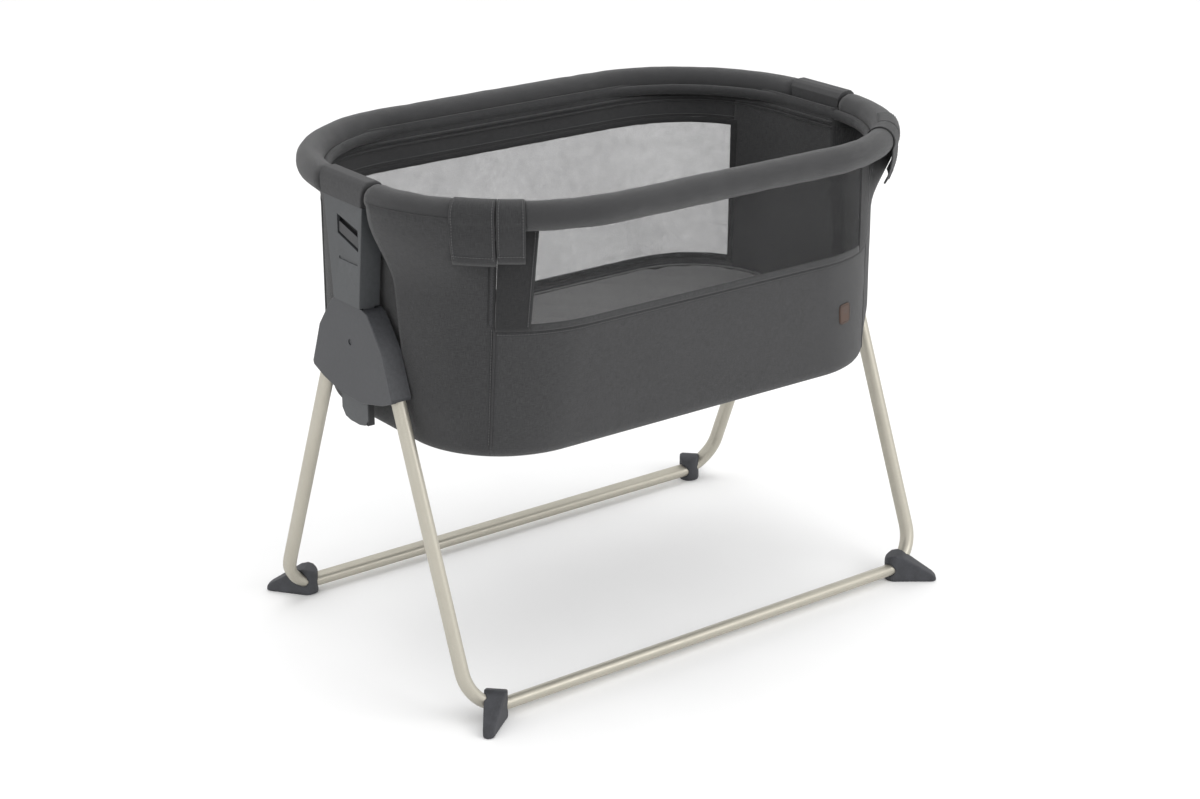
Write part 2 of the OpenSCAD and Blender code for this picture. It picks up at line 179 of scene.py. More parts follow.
def make(name, verts, faces, uvs=None, smooth=True):
    mesh = bpy.data.meshes.new(name)
    mesh.from_pydata([tuple(v) for v in verts], [], faces)
    if uvs is not None:
        layer = mesh.uv_layers.new(name="UVMap")
        flat = [c for face in uvs for uv in face for c in uv]
        layer.data.foreach_set("uv", flat)
    mesh.validate()
    if smooth:
        mesh.shade_smooth()
    return link(name, mesh)


def turn_out(obj):
    """Turns every face of a closed mesh outwards."""
    bm = bmesh.new()
    bm.from_mesh(obj.data)
    bmesh.ops.recalc_face_normals(bm, faces=bm.faces)
    bm.to_mesh(obj.data)
    bm.free()
    return obj


def loft(name, u0, u1, profile, at, step=0.008, shape=None, dims=RIM, around=False):
    """Sweeps a closed profile of (out, z) points along the basket's outline.

    shape(s, j, out, z) may move point j at the length s.
    """
    us, lengths = stations(u0, u1, step, dims)
    if around:
        us = us[:-1]
    m, n = len(us), len(profile)
    verts = []
    for i, u in enumerate(us):
        for j, (out, z) in enumerate(profile):
            if shape:
                out, z = shape(float(lengths[i]), j, out, z)
            verts.append(at(u, out, z))
    across = [0.0]
    for j in range(n):
        p, q = profile[j], profile[(j + 1) % n]
        across.append(across[-1] + math.hypot(q[0] - p[0], q[1] - p[1]))
    faces, uvs = [], []
    rows = m if around else m - 1
    for i in range(rows):
        for j in range(n):
            k, l = (i + 1) % m, (j + 1) % n
            faces.append((i * n + j, k * n + j, k * n + l, i * n + l))
            s0, s1 = lengths[i], lengths[i + 1]
            uvs.append([(s0, across[j]), (s1, across[j]), (s1, across[j + 1]), (s0, across[j + 1])])
    if not around:
        for i, order in ((0, range(n)), (m - 1, range(n - 1, -1, -1))):
            faces.append(tuple(i * n + j for j in order))
            uvs.append([(lengths[i], across[j % n]) for j in order])
    return turn_out(make(name, verts, faces, uvs))


def ring(out, z, ro, rz=None, count=12):
    """A round or oval profile about (out, z)."""
    rz = ro if rz is None else rz
    angles = [2 * math.pi * i / count for i in range(count)]
    return [(out + ro * math.cos(a), z + rz * math.sin(a)) for a in angles]


def clean_copy(name, node, body, key, slot, *, bevel=0.0008, segments=2, angle=30, weight=None):
    """A rounded copy of a CAD node: flat triangles joined again, and edges bevelled.

    weight(edge middle, edge) scales the bevel.
    """
    bm = bmesh.new()
    bm.from_mesh(frame["nodes"][node].data)
    bmesh.ops.remove_doubles(bm, verts=bm.verts, dist=2e-6)
    bmesh.ops.dissolve_limit(bm, angle_limit=math.radians(0.6), verts=bm.verts, edges=bm.edges)
    mesh = bpy.data.meshes.new(name)
    if weight:
        layer = bm.edges.layers.float.new("bevel_weight_edge")
        for e in bm.edges:
            if len(e.link_faces) == 2 and e.calc_face_angle(0) > math.radians(angle):
                e[layer] = weight((e.verts[0].co + e.verts[1].co) / 2, e)
    bm.to_mesh(mesh)
    bm.free()
    obj = link(name, mesh)
    mod = obj.modifiers.new("edges", "BEVEL")
    mod.width = bevel
    mod.segments = segments
    mod.use_clamp_overlap = True
    mod.harden_normals = True
    mod.miter_outer = "MITER_ARC"
    if weight:
        mod.limit_method = "WEIGHT"
    else:
        mod.limit_method = "ANGLE"
        mod.angle_limit = math.radians(angle)
    apply_modifiers(obj)
    obj.data.shade_smooth()
    obj.data.set_sharp_from_angle(angle=math.radians(40))
    even = obj.modifiers.new("even", "WEIGHTED_NORMAL")
    even.keep_sharp = True
    even.weight = 100
    apply_modifiers(obj)
    place(obj, key, slot, body, [node])


def apply_modifiers(obj):
    bpy.context.view_layer.update()
    graph = bpy.context.evaluated_depsgraph_get()
    done = bpy.data.meshes.new_from_object(obj.evaluated_get(graph))
    obj.modifiers.clear()
    obj.data = done


def body_of_node(node):
    return frame["nodes"][node].parent.name.replace("body:", "")


def stitches(name, path, pitch=0.0042, length=0.0029, width=0.00085, lift=0.0003):
    """A run of thread stitches along points of (place, outward direction)."""
    pts = [Vector(p) for p, _ in path]
    outs = [Vector(n).normalized() for _, n in path]
    run = [0.0]
    for a, b in zip(pts, pts[1:]):
        run.append(run[-1] + (b - a).length)
    verts, faces = [], []
    count = int(run[-1] / pitch)
    k = 0
    for i in range(count):
        s = (i + 0.5) * pitch
        while k < len(run) - 2 and run[k + 1] < s:
            k += 1
        t = (s - run[k]) / max(run[k + 1] - run[k], 1e-9)
        p = pts[k].lerp(pts[k + 1], t)
        n = outs[k].lerp(outs[k + 1], t).normalized()
        d = (pts[k + 1] - pts[k]).normalized()
        side = n.cross(d).normalized()
        base = len(verts)
        for along, w, h in ((-0.5, 0.25, -0.5), (-0.3, 1, 0.3), (0.3, 1, 0.3), (0.5, 0.25, -0.5)):
            c = p + d * along * length + n * (lift + h * width * 0.55)
            for a, b in ((-0.5, -0.3), (-0.25, 0.35), (0.25, 0.35), (0.5, -0.3)):
                verts.append(c + side * a * w * width + n * b * w * width)
        for r in range(3):
            for c in range(3):
                q = base + 4 * r + c
                faces.append((q, q + 1, q + 5, q + 4))
            faces.append((base + 4 * r + 3, base + 4 * r, base + 4 * r + 4, base + 4 * r + 7))
        faces.append((base, base + 1, base + 2, base + 3))
        faces.append((base + 15, base + 14, base + 13, base + 12))
    return make(name, verts, faces)


def join(name, objects):
    """One object of several."""
    bm = bmesh.new()
    for o in objects:
        bm.from_mesh(o.data)
    mesh = bpy.data.meshes.new(name)
    bm.to_mesh(mesh)
    bm.free()
    mesh.shade_smooth()
    for o in objects:
        bpy.data.objects.remove(o, do_unlink=True)
    return link(name, mesh)


def wob(p, scale, amount, seed=0.0):
    return amount * noise.noise(Vector((p[0] * scale + seed, p[1] * scale - seed, p[2] * scale + 2 * seed)))


# ---- materials ----


def srgb(v):
    v /= 255
    return v / 12.92 if v <= 0.04045 else ((v + 0.055) / 1.055) ** 2.4


def colour(r, g, b):
    return (srgb(r), srgb(g), srgb(b), 1)


class Nodes:
    """A few lines to build a node material."""

    def __init__(self, name):
        self.mat = bpy.data.materials.new(name)
        self.mat.use_nodes = True
        self.tree = self.mat.node_tree
        self.shader = self.tree.nodes["Principled BSDF"]
        coords = self.tree.nodes.new("ShaderNodeTexCoord")
        self.uv, self.at = coords.outputs["UV"], coords.outputs["Object"]

    def fill(self, node, inputs):
        """Sets a node's inputs, by name or number, to values or links outputs to them."""
        for key, x in inputs.items():
            if isinstance(x, (tuple, int, float)):
                node.inputs[key].default_value = x
            else:
                self.tree.links.new(x, node.inputs[key])
        return node

    def add(self, kind, inputs, **values):
        node = self.tree.nodes.new(kind)
        for key, value in values.items():
            setattr(node, key, value)
        return self.fill(node, inputs)

    def math(self, operation, *terms):
        return self.add("ShaderNodeMath", dict(enumerate(terms)), operation=operation).outputs[0]

    def noise(self, vector, scale, detail=2.0, rough=0.5, stretch=None):
        if stretch:
            vector = self.add("ShaderNodeMapping", {"Scale": stretch, "Vector": vector}).outputs[0]
        inputs = {"Scale": scale, "Detail": detail, "Roughness": rough, "Vector": vector}
        return self.add("ShaderNodeTexNoise", inputs).outputs["Fac"]

    def mix(self, factor, a, b, blend="MIX"):
        inputs = {"Factor": factor, 6: a, 7: b}
        return self.add("ShaderNodeMix", inputs, data_type="RGBA", blend_type=blend).outputs[2]

    def range(self, value, low, high, to_low=0.0, to_high=1.0):
        inputs = {"Value": value, "From Min": low, "From Max": high, "To Min": to_low, "To Max": to_high}
        return self.add("ShaderNodeMapRange", inputs).outputs["Result"]

    def bump(self, height, strength, distance, before=None):
        inputs = {"Strength": strength, "Distance": distance, "Height": height}
        if before is not None:
            inputs["Normal"] = before
        return self.add("ShaderNodeBump", inputs).outputs["Normal"]

    def finish(self, tone, roughness, normal=None, **more):
        """Fills the shader; an underscore in a further input's name stands for a space."""
        inputs = {"Base Color": tone, "Roughness": roughness}
        if normal is not None:
            inputs["Normal"] = normal
        for key, x in more.items():
            inputs[key.replace("_", " ")] = x
        self.fill(self.shader, inputs)
        return self.mat


def weave(n, vector, pitch):
    """Height of a plain weave and which thread is on top, from a vector in metres."""
    xyz = n.add("ShaderNodeSeparateXYZ", {0: vector})
    su = n.math("SINE", n.math("MULTIPLY", xyz.outputs[0], math.pi / pitch))
    sv = n.math("SINE", n.math("MULTIPLY", xyz.outputs[1], math.pi / pitch))
    over = n.math("GREATER_THAN", n.math("MULTIPLY", su, sv), 0.0)
    warp, weft = n.math("ABSOLUTE", su), n.math("ABSOLUTE", sv)
    under = n.math("SUBTRACT", 1.0, over)
    height = n.math("ADD", n.math("MULTIPLY", warp, over), n.math("MULTIPLY", weft, under))
    return height, over


def fabric(name, dark, light, pitch=0.0009, sheen=0.25, depth=0.00028):
    """Heathered polyester: two yarn shades in a plain weave, with slubs, slow changes of tone and painted
    shade in the weave's hollows.
    """
    n = Nodes(name)
    height, over = weave(n, n.uv, pitch)
    slub_u = n.noise(n.uv, 1.0, 2, 0.6, stretch=(90, 1100, 1))
    slub_v = n.noise(n.uv, 1.0, 2, 0.6, stretch=(1100, 90, 1))
    slub = n.add("ShaderNodeMix", {"Factor": over, 2: slub_u, 3: slub_v}, data_type="FLOAT")
    yarn = n.range(slub.outputs[0], 0.32, 0.68)
    tone = n.mix(yarn, dark, light)
    slow = n.range(n.noise(n.at, 9, 3, 0.6), 0.3, 0.7, 0.0, 0.22)
    worn = n.mix(slow, tone, light)
    # painted shade: the colour is darkened in the weave's hollows and a little lightened on its crowns, by
    # thread height
    shade = n.range(height, 0.0, 1.0, 0.62, 1.06)
    weave_shaded_tone = n.mix(1.0, worn, shade, blend="MULTIPLY")
    fuzz = n.noise(n.at, 2600, 2)
    folds = n.noise(n.at, 26, 3, 0.55)
    normal = n.bump(folds, 0.35, 0.0016)
    normal = n.bump(height, 0.55, depth, normal)
    normal = n.bump(fuzz, 0.25, 0.00012, normal)
    rough = n.range(fuzz, 0.3, 0.7, 0.82, 0.96)
    return n.finish(weave_shaded_tone, rough, normal, Sheen_Weight=sheen, Sheen_Roughness=0.55, Specular_IOR_Level=0.22)


def knit(name, thread, light, cover, pitch=0.0021):
    """Warp-knit mesh: threads round staggered holes, seen through by a share that the light shows as haze."""
    n = Nodes(name)
    xyz = n.add("ShaderNodeSeparateXYZ", {0: n.uv})
    k = 2 * math.pi / pitch
    across = n.math("MULTIPLY", xyz.outputs[0], k)
    along = n.math("MULTIPLY", xyz.outputs[1], k * 0.72)
    hole = n.math("MULTIPLY", n.math("COSINE", across), n.math("COSINE", along))
    hole = n.math("ABSOLUTE", hole)
    cloud = n.noise(n.at, 6.5, 3, 0.6)
    fine = n.noise(n.at, 60, 2, 0.6)
    base = n.range(cloud, 0.3, 0.7, cover * 0.93, cover * 1.07)
    base = n.math("ADD", base, n.range(fine, 0.3, 0.7, -0.03, 0.03))
    alpha = n.math("ADD", base, n.range(hole, 0.0, 1.0, 0.30, -0.30))
    alpha = n.math("MINIMUM", n.math("MAXIMUM", alpha, 0.02), 0.97)
    tone = n.mix(n.range(hole, 0.0, 1.0), light, thread)
    return n.finish(tone, n.range(fine, 0.3, 0.7, 0.78, 0.92), n.bump(hole, 0.4, 0.0004), Alpha=alpha,
                    Specular_IOR_Level=0.2, Sheen_Weight=0.15)


def plastic(name, base, edge, rough=0.5, grain=0.00007, wear=0.35):
    """Moulded plastic with a fine spark-eroded grain, a little tone drift and rubbed edges."""
    n = Nodes(name)
    drift = n.range(n.noise(n.at, 14, 3), 0.3, 0.7, 0.0, 0.35)
    tone = n.mix(drift, base, edge)
    geometry = n.add("ShaderNodeNewGeometry", {})
    rub = n.range(geometry.outputs["Pointiness"], 0.505, 0.545, 0.0, wear)
    scuff = n.math("MULTIPLY", rub, n.range(n.noise(n.at, 180, 3, 0.7), 0.35, 0.65))
    tone = n.mix(scuff, tone, tuple(min(1, c * 1.7) for c in edge[:3]) + (1,))
    fine = n.noise(n.at, 1500, 2, 0.6)
    uneven = n.range(fine, 0.25, 0.75, rough - 0.07, rough + 0.09)
    return n.finish(tone, uneven, n.bump(fine, 0.35, grain))


def metal(name, base, dark, metallic, rough, brushed=None):
    """Powder-coated or bright metal: fine flake, slow tone change, slightly uneven gloss."""
    n = Nodes(name)
    flake = n.noise(n.at, 2200, 1)
    slow = n.noise(n.at, 11, 3, 0.6)
    tone = n.mix(n.range(flake, 0.3, 0.7), dark, base)
    tone = n.mix(n.range(slow, 0.3, 0.7, 0.0, 0.3), tone, base)
    streak = n.noise(n.at, 1.0, 2, 0.5, stretch=brushed or (60, 60, 60))
    uneven = n.range(streak, 0.25, 0.75, rough - 0.06, rough + 0.08)
    return n.finish(tone, uneven, n.bump(flake, 0.2, 0.00003), Metallic=metallic)


def rubbery(name, base, light):
    n = Nodes(name)
    mottled = n.noise(n.at, 55, 4, 0.6)
    dust = n.range(n.noise(n.at, 420, 3, 0.7), 0.5, 0.75, 0.0, 0.4)
    dusty = tuple(c * 1.25 for c in light[:3]) + (1,)
    tone = n.mix(dust, n.mix(n.range(mottled, 0.3, 0.7), base, light), dusty)
    normal = n.bump(n.noise(n.at, 900, 3, 0.6), 0.4, 0.00015)
    return n.finish(tone, n.range(mottled, 0.3, 0.7, 0.52, 0.7), normal, Specular_IOR_Level=0.35)


def leather(name, base, dark):
    n = Nodes(name)
    cells = n.add("ShaderNodeTexVoronoi", {"Scale": 900, "Vector": n.at}, feature="DISTANCE_TO_EDGE")
    crease = n.range(cells.outputs["Distance"], 0.0, 0.25)
    stain = n.range(n.noise(n.at, 70, 4, 0.6), 0.3, 0.7)
    tone = n.mix(stain, dark, base)
    tone = n.mix(n.range(crease, 0.0, 1.0, 0.45, 0.0), tone, dark)
    return n.finish(tone, n.range(stain, 0, 1, 0.48, 0.66), n.bump(crease, 0.6, 0.0002))


def board(name, base, light):
    n = Nodes(name)
    fibre = n.noise(n.at, 1.0, 4, 0.65, stretch=(260, 900, 260))
    chips = n.noise(n.at, 380, 3, 0.7)
    tone = n.mix(n.range(n.math("MULTIPLY", fibre, chips), 0.12, 0.38), base, light)
    return n.finish(tone, n.range(chips, 0.3, 0.7, 0.62, 0.82), n.bump(fibre, 0.4, 0.0001))


M = {
    "fabric": fabric("charcoal_fabric", colour(40, 40, 41), colour(66, 66, 67), sheen=0.14),
    "band": fabric("band_fabric", colour(43, 43, 44), colour(68, 68, 69), sheen=0.16),
    "sleeve": fabric("sleeve_fabric", colour(40, 40, 41), colour(64, 64, 65), pitch=0.0008, sheen=0.2),
    "binding": fabric("binding_tape", colour(34, 34, 35), colour(52, 52, 53), pitch=0.0006, sheen=0.12,
                      depth=0.00018),
    "border": fabric("border_fabric", colour(32, 32, 33), colour(52, 52, 53), sheen=0.12),
    "liner": fabric("liner_fabric", colour(38, 38, 39), colour(60, 60, 61), sheen=0.14),
    "ticking": fabric("mattress_cover", colour(76, 76, 76), colour(106, 106, 106), pitch=0.0011, sheen=0.2),
    "knit_rear": knit("mesh_rear", colour(92, 92, 93), colour(150, 150, 151), 0.41),
    "knit_side": knit("mesh_side", colour(64, 64, 65), colour(96, 96, 97), -0.05),
    "thread": metal("thread", colour(104, 104, 105), colour(80, 80, 81), 0.0, 0.7),
    "hub": plastic("hub_plastic", colour(51, 52, 55), colour(59, 60, 63), 0.5),
    "post": plastic("post_plastic", colour(57, 59, 61), colour(65, 67, 69), 0.47),
    "cap": plastic("cap_plastic", colour(48, 48, 49), colour(57, 57, 58), 0.68),
    "inner": plastic("inner_plastic", colour(34, 34, 36), colour(46, 46, 48), 0.42, wear=0.2),
    "lever": plastic("lever_plastic", colour(28, 28, 30), colour(40, 40, 42), 0.36, wear=0.25),
    "foot": rubbery("foot_rubber", colour(50, 51, 54), colour(68, 69, 73)),
    "frame": metal("champagne_tube", colour(190, 186, 174), colour(164, 159, 146), 0.6, 0.42),
    "steel": metal("bright_steel", colour(196, 198, 200), colour(150, 152, 155), 1.0, 0.3,
                   brushed=(900, 60, 60)),
    "zip": plastic("zip_plastic", colour(30, 30, 32), colour(44, 44, 46), 0.38),
    "pull": metal("zip_pull_metal", colour(96, 96, 98), colour(62, 62, 64), 0.9, 0.34),
    "tag": leather("tag_leather", colour(84, 60, 47), colour(62, 45, 36)),
    "board": board("support_board", colour(46, 44, 42), colour(74, 70, 66)),
}


def dress(obj, key, slot=None):
    obj.data.materials.clear()
    obj.data.materials.append(M[key])
    return obj


def place(obj, key, slot=None, body="basket", nodes=()):
    """Gives a piece its material and its body, and hides the CAD nodes it stands for; the slot is not used.
    """
    dress(obj, key, slot)
    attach(obj, body)
    if nodes:
        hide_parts(*nodes)
    return obj


def dress_node(node, key):
    """A new material on a CAD node, set on the object so that its mesh stays as packed."""
    o = frame["nodes"][node]
    if not o.material_slots:
        o.data.materials.append(M[key])
    for s in o.material_slots:
        s.link = "OBJECT"
        s.material = M[key]


# ---- stand ----

for node in ("front_leg_tube", "rear_leg_tube", "rim_tube", "side_rail_tube", "base_ring"):
    dress_node(node, "frame")
for node in ("leg_pins", "hub_screws", "lock_rod_left", "lock_rod_right", "lock_pin_left", "lock_pin_right"):
    dress_node(node, "steel")
for node in ("front_leg_knuckles", "rear_leg_knuckles", "post_guide_left", "post_guide_right",
             "post_column_left", "post_column_right", "rim_end_plugs", "side_rail_plugs"):
    dress_node(node, "inner")
for node in ("latch_button_left", "latch_button_right"):
    dress_node(node, "lever")
dress_node("support_board", "board")


def moulded_foot(node):
    """A foot with its facets melted into one soft moulding."""
    obj = link(node + "_moulded", frame["nodes"][node].data.copy())
    m = obj.modifiers.new("remesh", "REMESH")
    m.mode = "VOXEL"
    m.voxel_size = 0.0014
    s = obj.modifiers.new("soften", "SMOOTH")
    s.factor = 0.6
    s.iterations = 7
    apply_modifiers(obj)
    obj.data.shade_smooth()
    place(obj, "foot", "foot", body_of_node(node), [node])


for side in ("front", "rear"):
    for hand in ("left", "right"):
        moulded_foot(f"foot_{side}_{hand}")


def outer_edge(x_face, wide, inner_y):
    """Bevel share of an edge: wide round the outer face, slight elsewhere and where the wall is thin."""
    def weight(mid, edge):
        on_face = all(abs(abs(v.co.x) - x_face) < 1e-4 for v in edge.verts)
        if on_face and abs(mid.y) > inner_y:
            return 1.0
        return wide
    return weight


def round_the_bore(mid, _):
    """Bevel share of a head cap's edge: slight round the rim tube's bore."""
    near = abs(abs(mid.x) - RIM[0]) < 0.012 and abs(mid.z - RIM_Z) < 0.012
    return 0.25 if near else 1.0


for hand in ("left", "right"):
    clean_copy(f"hub_{hand}_moulding", f"hub_shell_{hand}", "hubs", "hub", "hub", bevel=0.0055, segments=4,
               weight=outer_edge(0.450, 0.12, 0.039))
    clean_copy(f"hub_cover_{hand}_plate", f"hub_cover_{hand}", "hubs", "hub", "hub", bevel=0.0007)
    clean_copy(f"post_{hand}_moulding", f"post_shell_{hand}", "basket", "post", "post", bevel=0.0045,
               segments=4, weight=outer_edge(0.4535, 0.15, 0.0335))
    clean_copy(f"cap_{hand}_moulding", f"head_cap_{hand}", "basket", "cap", "post", bevel=0.0055,
               segments=4, angle=22, weight=round_the_bore)
    clean_copy(f"lever_{hand}_moulding", f"release_lever_{hand}", f"lever_{hand}", "lever", "inner_plastic",
               bevel=0.0012, segments=3)


def coil(hand):
    """A steel copy of the lever's return spring, which closes up as the lever is lifted; the copy itself
    stays as it is.
    """
    node = f"lever_spring_{hand}"
    obj = link(f"lever_coil_{hand}", frame["nodes"][node].data.copy())
    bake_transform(obj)
    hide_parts(node)
    return dress(obj, "steel", "steel")


coil("left")
coil("right")

# ---- rim sleeves ----


def sleeve(name, node, body, u0, u1, gather0, gather1, seed):
    """Padded sleeve round the rim, gathered at its ends, with a seam along its lower inner side."""
    count = 30
    profile = ring(0, 0, 1, 1, count)
    total = float(stations(u0, u1, 0.005, RIM)[1][-1])

    def shape(s, j, out, z):
        a = 2 * math.pi * j / count
        r = PAD_R - 0.0003
        seam_at = math.radians(232)
        d = (a - seam_at + math.pi) % (2 * math.pi) - math.pi
        r -= 0.0016 * math.exp(-(d / 0.10) ** 2)
        r += 0.0006 * math.exp(-((abs(d) - 0.26) / 0.12) ** 2)
        r += wob((s, math.cos(a) * 0.03, math.sin(a) * 0.03), 34, 0.0007, seed)
        r += wob((s, math.cos(a) * 0.01, math.sin(a) * 0.01), 9, 0.0008, seed + 3)
        for near, on in ((s, gather0), (total - s, gather1)):
            if on:
                t = min(near / 0.012, 1)
                r -= 0.0042 * (1 - t) ** 2
                r += 0.0005 * math.exp(-((near - 0.012) / 0.01) ** 2) * math.sin(a * 11 + seed)
        return out * r * 0.98, RIM_Z + z * r

    obj = loft(name, u0, u1, profile, rim_at, step=0.005, shape=shape)
    place(obj, "sleeve", "sleeve", body, [node])


CAP_HALF = 0.056                        # half the width of a head cap
cap_u = math.asin((CAP_HALF + 0.0007 - (RIM[1] - RIM[2])) / RIM[2]) / Q
split_u = SPLIT / Q
slit_u = SLIT / Q
window_u = WINDOW_EDGE / Q
rear_u = 1 - REAR_EDGE / Q
cuff_u = CUFF / Q

sleeve("rim_sleeve_rear", "rim_pad_rear", "basket", cap_u, 3 - cap_u, True, True, 1.0)
sleeve("rim_sleeve_front_right", "rim_pad_front_right", "basket", 6 + split_u + slit_u, 7 - cap_u,
       False, True, 2.0)
sleeve("rim_sleeve_front_left", "rim_pad_front_left", "basket", 4 + cap_u, 5 - split_u - slit_u,
       True, False, 3.0)
sleeve("side_rail_sleeve", "side_rail_pad", "side_rail", 5 - cuff_u, 6 + cuff_u, False, False, 4.0)


def step_along(a, b):
    """The direction from one point of a section to another."""
    return Vector((b[0] - a[0], b[1] - a[1])).normalized()


def run_at(line, i):
    """The direction of a section's line at one of its points."""
    return step_along(line[max(i - 1, 0)], line[min(i + 1, len(line) - 1)])


def line_length(line):
    return sum(math.hypot(b[0] - a[0], b[1] - a[1]) for a, b in zip(line, line[1:]))


def flap_profile(over, low, thick=0.0016, reach=0.0012):
    """Section of a flap that starts on top of the rim, goes over its outer side and hangs down to a hem."""
    r = PAD_R + reach
    angles = np.linspace(math.radians(over), math.radians(-28), 15)
    line = [(r * math.cos(a), RIM_Z + r * math.sin(a)) for a in angles]
    start, end = line[-1], (0.009, low)
    for t in np.linspace(0.12, 1, 9):
        bow = 0.0035 * math.sin(math.pi * t)
        line.append((start[0] + (end[0] - start[0]) * t ** 1.1 + bow, start[1] + (end[1] - start[1]) * t))
    outer, inner = [], []
    for i, p in enumerate(line):
        d = run_at(line, i)
        n = Vector((-d.y, d.x))
        hem = 1.7 if i >= len(line) - 2 else 1.0
        outer.append((p[0] + n.x * thick * hem * 0.5, p[1] + n.y * thick * hem * 0.5))
        inner.append((p[0] - n.x * thick * hem * 0.5, p[1] - n.y * thick * hem * 0.5))
    return outer + inner[::-1], line


def flap(name, u0, u1, over, low, body, seed, nodes=()):
    """A sewn fabric flap over the rim."""
    profile, line = flap_profile(over, low)

    def shape(s, j, out, z):
        drop = max(0, RIM_Z - z) / 0.07
        return out + wob((s, z, 0), 38, 0.0012, seed) * drop, z + wob((s, 0.2, 0), 22, 0.0010, seed) * drop

    obj = loft(name, u0, u1, profile, rim_at, step=0.003, shape=shape)
    place(obj, "liner", "wall_fabric", body, nodes)
    long = line_length(line)
    us, lengths = stations(u0, u1, 0.003, RIM)
    a, d = line[-3], step_along(line[-4], line[-3])
    up = Vector((0, 0, 0.25))
    path = [(rim_at(u, a[0] - d.y * 0.0012, a[1] + d.x * 0.0012), outward(u, RIM) + up) for u in us]
    runs = [stitches(name + "_t0", path)]
    for e, u in enumerate((us[1], us[-2])):
        path = []
        for i in range(4, len(line) - 1):
            a, d = line[i], step_along(line[i - 1], line[i])
            faces_to = outward(u, RIM) * -d.y + Vector((0, 0, d.x))
            path.append((rim_at(u, a[0] - d.y * 0.0010, a[1] + d.x * 0.0010), faces_to))
        runs.append(stitches(f"{name}_t{e + 1}", path))
    place(join(name + "_stitching", runs), "thread", body=body)


FLAP_WIDE, FLAP_GAP, FLAP_LOW, CUFF_LOW = 0.15, 0.0025, 0.6605, 0.664
flap("corner_flap_cover_right", 6 + split_u + FLAP_GAP, 6 + split_u + FLAP_WIDE, 118, FLAP_LOW, "basket", 5.0,
     ["corner_flap_right"])
flap("corner_flap_cover_left", 5 - split_u - FLAP_WIDE, 5 - split_u - FLAP_GAP, 118, FLAP_LOW, "basket", 6.0,
     ["corner_flap_left"])
flap("rail_cuff_right", 6 + cuff_u - 0.004, 6 + split_u - FLAP_GAP, 150, CUFF_LOW, "side_rail", 7.0)
flap("rail_cuff_left", 5 - split_u + FLAP_GAP, 5 - cuff_u + 0.004, 150, CUFF_LOW, "side_rail", 8.0)

# ---- basket walls ----


def upright_line(top, low, count):
    return [(0.0, float(z)) for z in np.linspace(top, low, count)]


def hem_line(top):
    """Outer line of a wall from its top down to the rounded lower edge."""
    low = FLOOR_Z + HEM
    line = upright_line(top, low, max(2, round((top - low) / 0.011)))
    for a in np.linspace(0, Q, 7)[1:]:
        line.append((-HEM + HEM * math.cos(a), FLOOR_Z + HEM - HEM * math.sin(a)))
    return line


def thick_wall(line, thick):
    """A closed section from a line and the same line set inwards."""
    inner = []
    for i, p in enumerate(line):
        d = run_at(line, i)
        n = Vector((d.y, -d.x))
        inner.append((p[0] + n.x * thick, p[1] + n.y * thick))
    return line + inner[::-1]


PANEL_STEP = 0.009


def panel(name, u0, u1, line, node, key, seed, thick=WALL, ease=0.0011, offset=0.0):
    """A sewn wall panel that follows the basket's tapered outline."""
    line = [(o + offset, z) for o, z in line]
    profile = thick_wall(line, thick)

    def shape(s, j, out, z):
        calm = min(1, max(0, z - FLOOR_Z - 0.004) / 0.05)
        p = (s, z, 0.0)
        return out + (wob(p, 7, ease, seed) + wob(p, 21, ease * 0.45, seed)) * calm, z

    obj = loft(name, u0, u1, profile, wall_at, step=PANEL_STEP, shape=shape, dims=WALL_TOP)
    place(obj, key, "mesh" if key == "knit_rear" else "wall_fabric", nodes=[node])
    long = float(stations(u0, u1, PANEL_STEP, WALL_TOP)[1][-1])
    tall = line_length(line)


WALL_HIGH = RIM_Z - 0.001
full = hem_line(WALL_HIGH)
panel("end_wall_cover_right", 6 + split_u, 8 + rear_u, full, "end_wall_right", "fabric", 11)
panel("end_wall_cover_left", 3 - rear_u, 5 - split_u, full, "end_wall_left", "fabric", 12)
panel("rear_band_lower_cover", rear_u, 3 - rear_u, hem_line(REAR_LOW), "rear_band_lower", "fabric", 13)
panel("rear_band_upper_cover", rear_u, 3 - rear_u, upright_line(WALL_HIGH, REAR_HIGH, 7), "rear_band_upper",
      "liner", 14)
panel("front_band_cover", 5 - split_u, 6 + split_u, hem_line(BAND_Z), "front_band", "band", 15)
panel("rear_mesh_cover", rear_u - 0.01, 3 - rear_u + 0.01,
      upright_line(REAR_HIGH + 0.004, REAR_LOW - 0.004, 18), "rear_mesh", "knit_rear", 16,
      thick=0.0007, ease=0.0022, offset=-0.0014)


def grid_face(base, n, m, i, j):
    """One face between rows i and i + 1 of a mesh with n points in a row; the rows close after m."""
    k = (j + 1) % m
    return [base + i * n + j, base + i * n + k, base + (i + 1) * n + k, base + (i + 1) * n + j]


